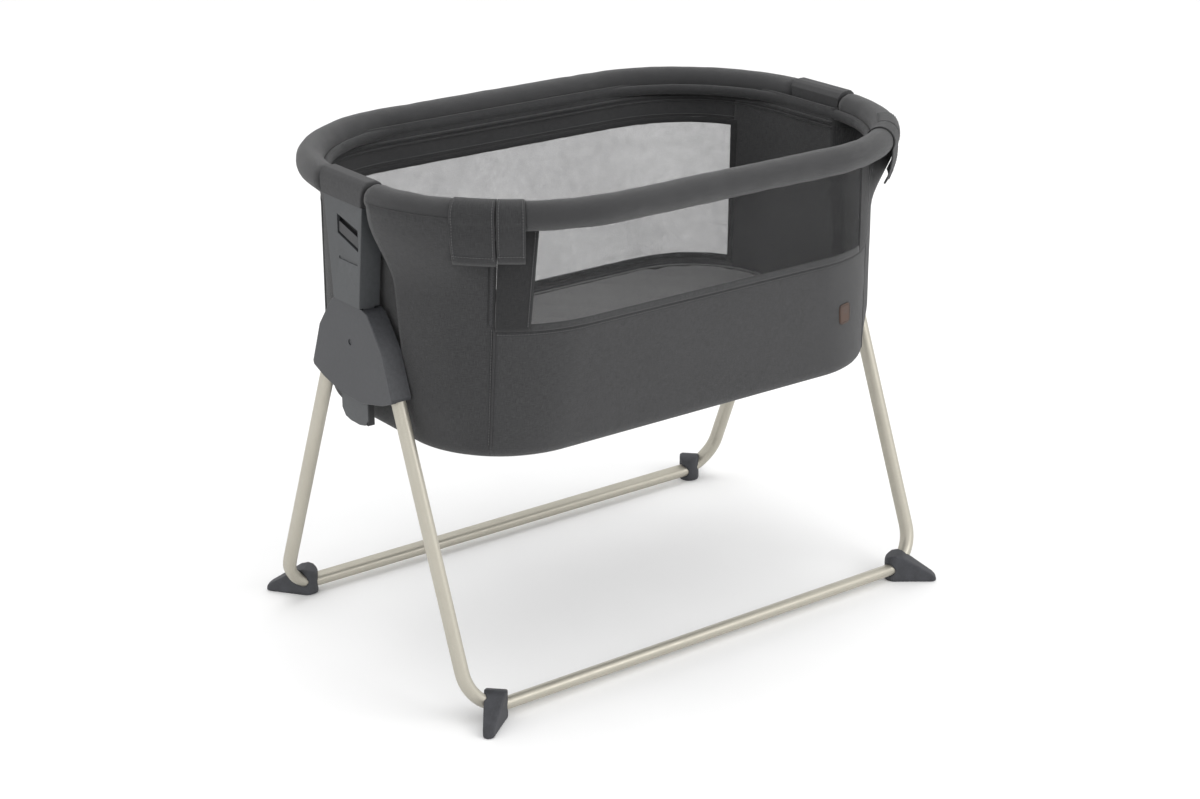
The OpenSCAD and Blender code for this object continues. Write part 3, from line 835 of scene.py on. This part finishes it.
def outline_mesh(name, inset, z0, z1):
    """A flat sheet with the plan of the basket's floor."""
    a, b, r = (v - inset for v in FLOOR)
    us, _ = stations(0, 8, 0.012, (a, b, r))
    rim = [on_track(u, (a, b, r))[0] for u in us[:-1]]
    rings = []
    for share in (1.0, 0.985, 0.93, 0.8, 0.6, 0.4, 0.2):
        rings.append([(p.x * share, p.y * share) for p in rim])
    m = len(rim)
    verts, faces, uvs = [], [], []
    for side, z in ((0, z1), (1, z0)):
        for ring_ in rings:
            for x, y in ring_:
                sag = -0.0007 + wob((x, y, z), 9, 0.0008, 3.0)
                verts.append((x, y, z + (sag if ring_ is not rings[0] else 0)))
        verts.append((0, 0, z - 0.0007))
    n = m * len(rings) + 1
    for side in (0, 1):
        base = side * n
        for k in range(len(rings) - 1):
            for i in range(m):
                q = grid_face(base, m, m, k, i)
                faces.append(tuple(q if side == 0 else q[::-1]))
        for i in range(m):
            q = [base + (len(rings) - 1) * m + i, base + (len(rings) - 1) * m + (i + 1) % m, base + n - 1]
            faces.append(tuple(q if side == 0 else q[::-1]))
    for i in range(m):
        faces.append((i, n + i, n + (i + 1) % m, (i + 1) % m))
    uvs = [[(verts[v][0], verts[v][1]) for v in f] for f in faces]
    return turn_out(make(name, verts, faces, uvs))


ground = outline_mesh("floor_cover", HEM - 0.0005, FLOOR_Z + 0.0004, FLOOR_Z + 0.003)
place(ground, "fabric", "wall_fabric", nodes=["floor_fabric"])

# ---- seams, hems and piping ----


def bead(name, u0, u1, out, z, r, key, at=wall_at, rz=None, dims=WALL_TOP, around=False, seed=0.0):
    """A length of piping or a rolled hem along the outline."""
    def shape(s, j, o, zz):
        k = 1 + wob((s, 0, 0), 60, 0.10, seed)
        return out + (o - out) * k, z + (zz - z) * k

    profile = ring(out, z, r, rz, 10)
    obj = loft(name, u0, u1, profile, at, dims=dims, around=around, shape=None if around else shape)
    place(obj, key)


def wall_spot(u, out, z, inward=False):
    """A place on the wall and the way a stitch there faces."""
    return wall_at(u, out, z), outward(u, taper(z)) * (-1 if inward else 1)


def wall_path(u0, u1, out, z, step=0.01, inward=False):
    us, _ = stations(u0, u1, step, WALL_TOP)
    return [wall_spot(u, out, z, inward) for u in us]


def upright_path(u, out, z0, z1, step=0.01):
    heights = np.linspace(z0, z1, max(2, round(abs(z1 - z0) / step))).tolist()
    return [wall_spot(u, out, z) for z in heights]


# The liner rolls over the wall's top and under the sleeve, with two piped seams below it, inside the basket.
# The fixed rim runs from its right stub round the back to its left stub.
FIXED = 6 + split_u + 0.002, 13 - split_u - 0.002
REAR_RUN = rear_u, 3 - rear_u
BAND_RUN = 5 - split_u, 6 + split_u
bead("liner_roll", *FIXED, -0.0235, 0.7165, 0.0058, "liner", rz=0.0085, seed=1, at=rim_at, dims=RIM)
bead("liner_piping_upper", *FIXED, -WALL - 0.0012, 0.7035, 0.0021, "liner", rz=0.0024, seed=2)
bead("liner_piping_lower", *FIXED, -WALL - 0.0006, 0.6955, 0.0014, "liner", rz=0.0016, seed=3)
bead("band_hem", BAND_RUN[0] + 0.004, BAND_RUN[1] - 0.004, -0.0022, BAND_Z - 0.0012, 0.0028, "band",
     rz=0.0032, seed=4)
bead("floor_piping", 0, 8, -HEM + 0.001, FLOOR_Z + 0.0008, 0.0017, "binding", around=True, dims=FLOOR)
bead("rear_sill_binding", *REAR_RUN, -0.0015, REAR_LOW + 0.0005, 0.0026, "binding", rz=0.0055, seed=5)
bead("rear_head_binding", *REAR_RUN, -0.0015, REAR_HIGH - 0.0005, 0.0026, "binding", rz=0.0055, seed=6)


def upright(name, u, out, z0, z1, half, thick, key, ridge=0.0):
    """A flat tape that stands on the wall, its width along the outline."""
    us = [u + half * t for t in (-1, -0.8, -0.35, 0.0, 0.35, 0.8, 1)]
    rise = [0.0, 1.0, 1.0, 1.0 + ridge, 1.0, 1.0, 0.0]
    zs = [float(z) for z in np.linspace(z0, z1, max(3, round(abs(z1 - z0) / 0.006)))]
    verts, faces, uvs = [], [], []
    for i, z in enumerate(zs):
        for uu, h in zip(us, rise):
            verts.append(wall_at(uu, out + thick * h, z))
        for uu in us[::-1]:
            verts.append(wall_at(uu, out, z))
    n = len(us) * 2
    for i in range(len(zs) - 1):
        for j in range(n):
            faces.append(tuple(grid_face(0, n, n, i, j)))
            x0, x1 = j * 0.002, (j + 1) * 0.002
            uvs.append([(x0, zs[i]), (x1, zs[i]), (x1, zs[i + 1]), (x0, zs[i + 1])])
    faces.append(tuple(range(n)))
    faces.append(tuple((len(zs) - 1) * n + j for j in range(n - 1, -1, -1)))
    uvs += [[(0, 0)] * n, [(0, 0)] * n]
    obj = turn_out(make(name, verts, faces, uvs))
    place(obj, key)


# Bindings up the sides of the rear window, inside and out.
for hand, u in (("right", rear_u), ("left", 3 - rear_u)):
    upright(f"rear_jamb_out_{hand}", u, 0.0, REAR_LOW - 0.004, REAR_HIGH + 0.004, 0.018, 0.0011, "binding")
    upright(f"rear_jamb_in_{hand}", u, -WALL, REAR_LOW - 0.004, REAR_HIGH + 0.004, 0.018, -0.0011, "binding")

SEWN_BAND = BAND_RUN[0] + 0.01, BAND_RUN[1] - 0.01
threads = [
    stitches("s0", wall_path(*REAR_RUN, 0.0, REAR_LOW - 0.009)),
    stitches("s1", wall_path(*REAR_RUN, 0.0, REAR_HIGH + 0.009)),
    stitches("s2", wall_path(*REAR_RUN, -WALL, REAR_LOW - 0.009, inward=True)),
    stitches("s3", wall_path(*REAR_RUN, -WALL, REAR_HIGH + 0.009, inward=True)),
    stitches("s4", wall_path(*SEWN_BAND, 0.0004, BAND_Z - 0.008)),
    stitches("s5", wall_path(*SEWN_BAND, -WALL - 0.0004, BAND_Z - 0.008, inward=True)),
]
for i, u in enumerate((6 + split_u + 0.012, 5 - split_u - 0.012)):
    threads.append(stitches(f"v{i}", upright_path(u, 0.0004, 0.388, BAND_Z + 0.004)))
place(join("basket_stitching", threads), "thread")

# Upright seams from the zips down to the lower edge, where the band joins the end walls.
for hand, u in (("right", 6 + split_u), ("left", 5 - split_u)):
    upright(f"corner_seam_{hand}", u, -0.0003, FLOOR_Z + HEM, BAND_Z + 0.002, 0.0065, 0.0011, "band",
            ridge=0.5)

# ---- drop side panel ----

SIDE_U0, SIDE_U1 = 5 - split_u + 0.003, 6 + split_u - 0.003
SIDE_LOW, SIDE_TOP = BAND_Z - 0.0035, 0.7315
WINDOW = 5 - window_u, 6 + window_u
SIDE_STEP = 0.008


def side_piece(name, u0, u1, z0, z1, key, thick, offset, seed, ease=0.0008, rows=0.006):
    """A piece of the drop side's panel; it hangs from the rail and its lower edge is sewn to the band."""
    line = [(offset, z) for _, z in upright_line(z1, z0, max(3, round((z1 - z0) / rows)))]
    profile = thick_wall(line, thick)

    def shape(s, j, out, z):
        calm = min(1, max(0, z - SIDE_LOW) / 0.03, max(0, SIDE_TOP - z) / 0.02)
        return out + wob((s, z, 0.0), 12, ease, seed) * calm, z

    obj = loft(name, u0, u1, profile, wall_at, step=SIDE_STEP, shape=shape, dims=WALL_TOP)
    dress(obj, key, "mesh" if key == "knit_side" else "wall_fabric")
    long = float(stations(u0, u1, SIDE_STEP, WALL_TOP)[1][-1])
    return obj


def bend(obj):
    """Bakes a piece's placement into its mesh; the side's panel is not made to close up between the band and
    the rail as the rail goes down.
    """
    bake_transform(obj)


side_mesh = side_piece("side_mesh_cover", WINDOW[0] - 0.012, WINDOW[1] + 0.012, SIDE_LOW, SIDE_TOP,
                       "knit_side", 0.0006, 0.0012, 21)
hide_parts("side_mesh")
side_parts = [side_mesh]
for hand, u0, u1 in (("left", SIDE_U0, WINDOW[0]), ("right", WINDOW[1], SIDE_U1)):
    side_parts.append(side_piece(f"side_border_{hand}", u0, u1, SIDE_LOW, SIDE_TOP, "border",
                                 0.0016, 0.0016, 22, ease=0.0005))
side_parts.append(side_piece("side_head_band", *WINDOW, 0.7035, SIDE_TOP, "fabric", 0.0018, 0.0018, 23,
                             ease=0.0003))
side_parts.append(side_piece("side_sill_band", *WINDOW, SIDE_LOW, SIDE_LOW + 0.0105, "band",
                             0.0016, 0.0018, 24, ease=0.0002, rows=0.0018))
for part in side_parts:
    bend(part)
side_threads = [
    stitches("m0", wall_path(*WINDOW, 0.0020, 0.7065)),
    stitches("m1", upright_path(WINDOW[0] - 0.014, 0.0018, SIDE_LOW + 0.006, 0.708)),
    stitches("m2", upright_path(WINDOW[1] + 0.014, 0.0018, SIDE_LOW + 0.006, 0.708)),
]
side_thread = join("side_panel_stitching", side_threads)
dress(side_thread, "thread")
bend(side_thread)

# ---- zips ----


def zip_teeth(name, u, z0, z1):
    """Two rows of moulded teeth that mesh up the opening."""
    verts, faces = [], []
    pitch = 0.0022
    count = int((z1 - z0) / pitch)
    for i in range(count):
        z = z0 + (i + 0.5) * pitch
        for side in (-1, 1):
            zz = z + (pitch / 2 if side > 0 else 0)
            p = wall_at(u, 0.0, zz)
            n = outward(u, taper(zz))
            t = Vector((-n.y, n.x, 0))
            base = len(verts)
            for a, h in ((-0.1, 0.0), (-0.1, 1.0), (1.0, 1.0), (1.0, 0.0)):
                for dz in (-0.42, 0.42):
                    w = 0.8 if a > 0.5 else 1.0
                    lift = Vector((0, 0, dz * pitch * 0.9 * w))
                    verts.append(p + t * side * (a * 0.0023) + n * (0.0004 + h * 0.0013 * w) + lift)
            for f in ((0, 1, 3, 2), (2, 3, 5, 4), (4, 5, 7, 6), (6, 7, 1, 0), (0, 2, 4, 6), (1, 7, 5, 3)):
                faces.append(tuple(base + k for k in f))
    return place(turn_out(make(name, verts, faces, smooth=False)), "zip", "zip")


def zip_slider(hand, u, z):
    """Slider body with its two shoulders, bridge and hanging pull."""
    p = wall_at(u, 0.0, z)
    n = outward(u, taper(z))
    t = Vector((-n.y, n.x, 0))
    up = Vector((0, 0, 1))

    def block(name, outline, low, high, bevel):
        bm = bmesh.new()
        lower = [bm.verts.new(p + t * a + up * b + n * low) for a, b in outline]
        upper = [bm.verts.new(p + t * a + up * b + n * high) for a, b in outline]
        k = len(outline)
        bm.faces.new(lower[::-1])
        bm.faces.new(upper)
        for i in range(k):
            bm.faces.new((lower[i], lower[(i + 1) % k], upper[(i + 1) % k], upper[i]))
        bmesh.ops.recalc_face_normals(bm, faces=bm.faces)
        bmesh.ops.bevel(bm, geom=bm.edges[:], offset=bevel, segments=2, affect="EDGES", profile=0.6)
        mesh = bpy.data.meshes.new(name)
        bm.to_mesh(mesh)
        bm.free()
        mesh.shade_smooth()
        return link(name, mesh)

    body = block("b", [(-0.0032, -0.006), (0.0032, -0.006), (0.0042, 0.001), (0.0046, 0.0065),
                       (0.0018, 0.0075), (0, 0.0055), (-0.0018, 0.0075), (-0.0046, 0.0065),
                       (-0.0042, 0.001)], 0.0016, 0.0032, 0.0003)
    bridge = block("c", [(-0.0009, -0.0040), (0.0009, -0.0040), (0.0009, 0.0040), (-0.0009, 0.0040)],
                   0.0030, 0.0052, 0.0004)
    pull = block("d", [(-0.0016, 0.0032), (0.0016, 0.0032), (0.0021, -0.004), (0.0034, -0.019),
                       (0.0026, -0.0225), (0, -0.0235), (-0.0026, -0.0225), (-0.0034, -0.019),
                       (-0.0021, -0.004)], 0.0046, 0.0059, 0.00045)
    obj = join(f"zip_slider_{hand}_cast", [body, bridge, pull])
    place(obj, "pull", "zip", f"zip_{hand}", [f"zip_slider_{hand}"])


for hand, u, side in (("right", 6 + split_u, 1), ("left", 5 - split_u, -1)):
    centre = u + side * 0.018
    upright(f"zip_tape_{hand}", centre, 0.0, BAND_Z + 0.004, RIM_Z - 0.024, 0.016, 0.0009, "binding")
    teeth = zip_teeth(f"zip_teeth_{hand}", centre, BAND_Z + 0.006, RIM_Z - 0.026)
    if hand == "right":
        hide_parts("zip_tapes")
    zip_slider(hand, centre, RIM_Z - 0.035)

# ---- leather tag ----


def leather_patch():
    """A small blank patch with turned edges, sewn to the band."""
    u0, u1, z0, z1 = 6.1, 6.2, 0.450, 0.483
    nu, nz = 14, 16
    mid_u, mid_z = (u0 + u1) / 2, (z0 + z1) / 2
    q = 5                               # how square the patch's outline is
    verts, faces = [], []
    for lift in (0.0014, 0.0):
        for i in range(nz + 1):
            for j in range(nu + 1):
                a, b = j / nu * 2 - 1, i / nz * 2 - 1
                edge = (abs(a) ** q + abs(b) ** q) ** (1 / q)
                m = max(abs(a), abs(b)) or 1.0
                pull = 1 if edge < 1e-6 else min(1, m / edge) if m > 0.9 else 1
                crown = lift * (1 - 0.55 * max(0, edge - 0.9) / 0.25)
                u, z = mid_u + a * pull * (u1 - u0) / 2, mid_z + b * pull * (z1 - z0) / 2
                verts.append(wall_at(u, crown + 0.0002, z))
    row = nu + 1
    layer = row * (nz + 1)
    for k in (0, 1):
        for i in range(nz):
            for j in range(nu):
                face = grid_face(k * layer, row, row, i, j)
                faces.append(tuple(face if k == 0 else face[::-1]))
    border = list(range(nu)) + [i * row + nu for i in range(nz)]
    border += [nz * row + j for j in range(nu, 0, -1)] + [i * row for i in range(nz, 0, -1)]
    for a, b in zip(border, border[1:] + border[:1]):
        faces.append((a, layer + a, layer + b, b))
    uvs = [[(0.001 * v, 0.001 * v) for v in f] for f in faces]
    obj = turn_out(make("leather_tag_cover", verts, faces, uvs))
    place(obj, "tag", "leather", nodes=["leather_tag"])
    left, right, low, high = u0 + 0.008, u1 - 0.008, z0 + 0.003, z1 - 0.003
    out, step = 0.0015, 0.004
    path = wall_path(left, right, out, low, step=step) + upright_path(right, out, low, high, step=step)
    path += wall_path(left, right, out, high, step=step)[::-1] + upright_path(left, out, high, low, step=step)
    sewn = stitches("leather_tag_stitching", path, pitch=0.0030, length=0.0021, width=0.0006)
    place(sewn, "binding")


leather_patch()

# ---- mattress ----


PAD_INSET = 0.0105                      # from the floor's outline to the mattress's side
PAD_DIMS = tuple(v - PAD_INSET for v in FLOOR)


def plan_loft(name, z_profile):
    """A closed cushion-like solid: rings of the mattress's plan at (extra inset, height)."""
    us = stations(0, 8, 0.012, PAD_DIMS)[0][:-1]
    m = len(us)
    verts = []
    for extra, z in z_profile:
        for u in us:
            p, n = on_track(u, PAD_DIMS)
            verts.append((p.x - n.x * extra, p.y - n.y * extra, z))
    faces = []
    for k in range(len(z_profile) - 1):
        for i in range(m):
            faces.append(tuple(grid_face(0, m, m, k, i)))
    faces.append(tuple(range(m - 1, -1, -1)))
    faces.append(tuple((len(z_profile) - 1) * m + i for i in range(m)))
    return make(name, verts, faces)


QUILT = 0.085                           # spacing of the quilted diamonds


def mattress_pad():
    """The mattress, swelled as cloth under slight pressure, with piped edges and a quilted top sewn after."""
    shell = plan_loft("mattress_pad", [(0.004, MATTRESS_LOW + 0.0006), (0.0, MATTRESS_LOW + 0.006),
                                       (0.0, MATTRESS_TOP - 0.008), (0.0045, MATTRESS_TOP - 0.003)])
    m = shell.modifiers.new("remesh", "REMESH")
    m.mode = "VOXEL"
    m.voxel_size = 0.0055
    apply_modifiers(shell)
    before = np.array([v.co for v in shell.data.vertices])
    group = shell.vertex_groups.new(name="pin")
    low = [i for i, p in enumerate(before) if p[2] < MATTRESS_LOW + 0.004]
    group.add(low, 1.0, "REPLACE")
    cloth = shell.modifiers.new("cloth", "CLOTH")
    cloth.settings.effector_weights.gravity = 0
    for key, value in (("use_pressure", True), ("uniform_pressure_force", 2.5), ("mass", 0.3),
                       ("tension_stiffness", 18), ("compression_stiffness", 18), ("shear_stiffness", 8),
                       ("bending_stiffness", 2), ("vertex_group_mass", "pin")):
        setattr(cloth.settings, key, value)
    cloth.collision_settings.use_collision = False
    scene = bpy.context.scene
    for f in range(1, 17):
        scene.frame_set(f)
    apply_modifiers(shell)
    scene.frame_set(1)
    co = np.array([v.co for v in shell.data.vertices])
    if len(co) == len(before):
        move = co - before
        far = np.linalg.norm(move, axis=1)
        most = 0.006
        move *= np.minimum(1, most / np.maximum(far, 1e-9))[:, None]
        co = before + move
    a, b, r = (v - 0.009 for v in FLOOR)
    for i, v in enumerate(shell.data.vertices):
        x, y, z = co[i]
        cx, cy = max(0, abs(x) - (a - r)), max(0, abs(y) - (b - r))
        d = math.hypot(cx, cy)
        if d > r:
            x = math.copysign(abs(x) - cx + cx * r / d, x)
            y = math.copysign(abs(y) - cy + cy * r / d, y)
        z = min(max(z, MATTRESS_LOW), MATTRESS_TOP + 0.0015)
        if z > MATTRESS_TOP - 0.006:
            quilt = abs(math.sin(math.pi * (x + y) / QUILT)) * abs(math.sin(math.pi * (x - y) / QUILT))
            rim = min(1, max(0, r - d) / 0.03) if (cx > 0 or cy > 0) else 1
            z -= 0.0013 * (1 - quilt ** 0.35) * rim
            z += wob((x, y, 0), 8, 0.0011, 2.0)
        v.co = (x, y, z)
    sub = shell.modifiers.new("smooth", "SUBSURF")
    sub.levels = sub.render_levels = 1
    apply_modifiers(shell)
    mesh = shell.data
    layer = mesh.uv_layers.new(name="UVMap")
    for poly in mesh.polygons:
        flat = abs(poly.normal.z) > 0.6
        for li in poly.loop_indices:
            p = mesh.vertices[mesh.loops[li].vertex_index].co
            along = p.x if abs(poly.normal.y) > abs(poly.normal.x) else p.y
            layer.data[li].uv = (p.x, p.y) if flat else (along, p.z)
    mesh.shade_smooth()
    place(shell, "ticking", "mattress_fabric", nodes=["mattress"])


mattress_pad()


def mattress_piping(name, z):
    def at(u, out, zz):
        p, n = on_track(u, PAD_DIMS)
        return Vector((p.x + n.x * out, p.y + n.y * out, zz))

    obj = loft(name, 0, 8, ring(-0.0012, z, 0.0022, count=10), at, dims=PAD_DIMS, around=True)
    place(obj, "ticking")


mattress_piping("mattress_piping_upper", MATTRESS_TOP - 0.0045)
mattress_piping("mattress_piping_lower", MATTRESS_LOW + 0.0045)

# ---- floor, light and camera ----

scene = bpy.context.scene
scene.view_settings.view_transform = "Standard"

corners = [(9 * x, 9 * y, -0.0005) for x, y in ((-1, -1), (1, -1), (1, 1), (-1, 1))]
studio = make("studio_floor", corners, [(0, 1, 2, 3)], smooth=False)
n = Nodes("pale_floor")
patches = n.range(n.noise(n.at, 3, 2), 0.3, 0.7)
studio.data.materials.append(n.finish(n.mix(patches, (0.90, 0.90, 0.90, 1), (0.93, 0.93, 0.93, 1)), 0.85))

world = bpy.data.worlds.new("studio")
world.use_nodes = True
world.node_tree.nodes["Background"].inputs["Color"].default_value = (1.0, 1.0, 1.0, 1)
world.node_tree.nodes["Background"].inputs["Strength"].default_value = 1.08
scene.world = world


def area(name, place, target, size, power):
    light = bpy.data.lights.new(name, "AREA")
    light.shape = "RECTANGLE"
    light.size, light.size_y = size
    light.energy = power
    obj = bpy.data.objects.new(name, light)
    scene.collection.objects.link(obj)
    obj.location = place
    obj.rotation_euler = (Vector(target) - Vector(place)).to_track_quat("-Z", "Y").to_euler()


area("key", (1.6, -3.4, 2.6), (0, 0, 0.45), (2.6, 2.0), 52)
area("fill", (-3.4, -1.2, 2.0), (0, 0, 0.5), (2.2, 2.0), 9)
area("top", (0.2, 0.6, 3.6), (0, 0, 0.3), (2.8, 2.8), 26)

camera = bpy.data.cameras.new("camera")
camera.lens = 72.0
camera.sensor_width = 36.0
eye = bpy.data.objects.new("camera", camera)
scene.collection.objects.link(eye)
eye.location = (-2.1005, -2.7737, 1.6350)
eye.rotation_euler = (Vector((0, 0.008, 0.313)) - eye.location).to_track_quat("-Z", "Y").to_euler()
scene.camera = eye
